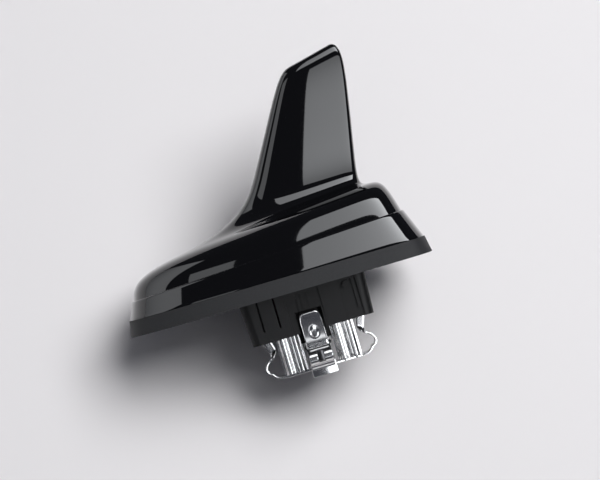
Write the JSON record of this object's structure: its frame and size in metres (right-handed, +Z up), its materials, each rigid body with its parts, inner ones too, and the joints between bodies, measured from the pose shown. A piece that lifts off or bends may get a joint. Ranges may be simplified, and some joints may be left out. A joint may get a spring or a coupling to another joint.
{
  "type": "shark fin car antenna",
  "caption": "Gloss black shark fin car roof antenna with a sloped skirt, rubber roof gasket and a snap-in roof spigot held by a bright sheet-steel spring clip",
  "frame": {"origin": "middle of the roof spigot, on the roof surface under the gasket", "axes": "+Z up out of the roof, +X to the rear of the car, +Y to the right-hand side of the fin seen from behind"},
  "size_m": [0.0973, 0.0574, 0.0981],
  "materials": {
    "gloss_black": "polished black paint on moulded plastic",
    "gasket_rubber": "matte dark grey moulded rubber",
    "die_cast": "grey die casting",
    "seal_rubber": "matte black rubber",
    "circuit_board": "green solder mask",
    "patch_ceramic": "sintered ceramic",
    "contact_brass": "turned brass",
    "tin_plate": "tin plated sheet",
    "screw_steel": "zinc plated",
    "black_plastic": "fine textured black moulding",
    "spring_steel": "bright zinc plated spring sheet",
    "socket_plastic": "coloured socket moulding"
  },
  "bodies": {
    "root": {"fin_cover": "gloss_black", "skirt_frame": "gloss_black", "roof_gasket": "gasket_rubber", "base_plate": "die_cast", "cover_seal": "seal_rubber", "main_board": "circuit_board", "patch_antenna": "patch_ceramic", "patch_pin": "contact_brass", "shield_can": "tin_plate", "fin_radiator": "circuit_board", "foam_pad": "seal_rubber", "cover_screws": "screw_steel", "board_screws": "screw_steel", "spigot_screws": "screw_steel", "roof_spigot": "black_plastic", "spring_clip": "spring_steel", "clip_bolt": "screw_steel", "threaded_insert": "contact_brass", "phone_socket": "socket_plastic", "phone_socket_shell": "tin_plate", "phone_socket_pin": "contact_brass", "navigation_socket": "socket_plastic", "navigation_socket_shell": "tin_plate", "navigation_socket_pin": "contact_brass"}
  },
  "joints": []
}
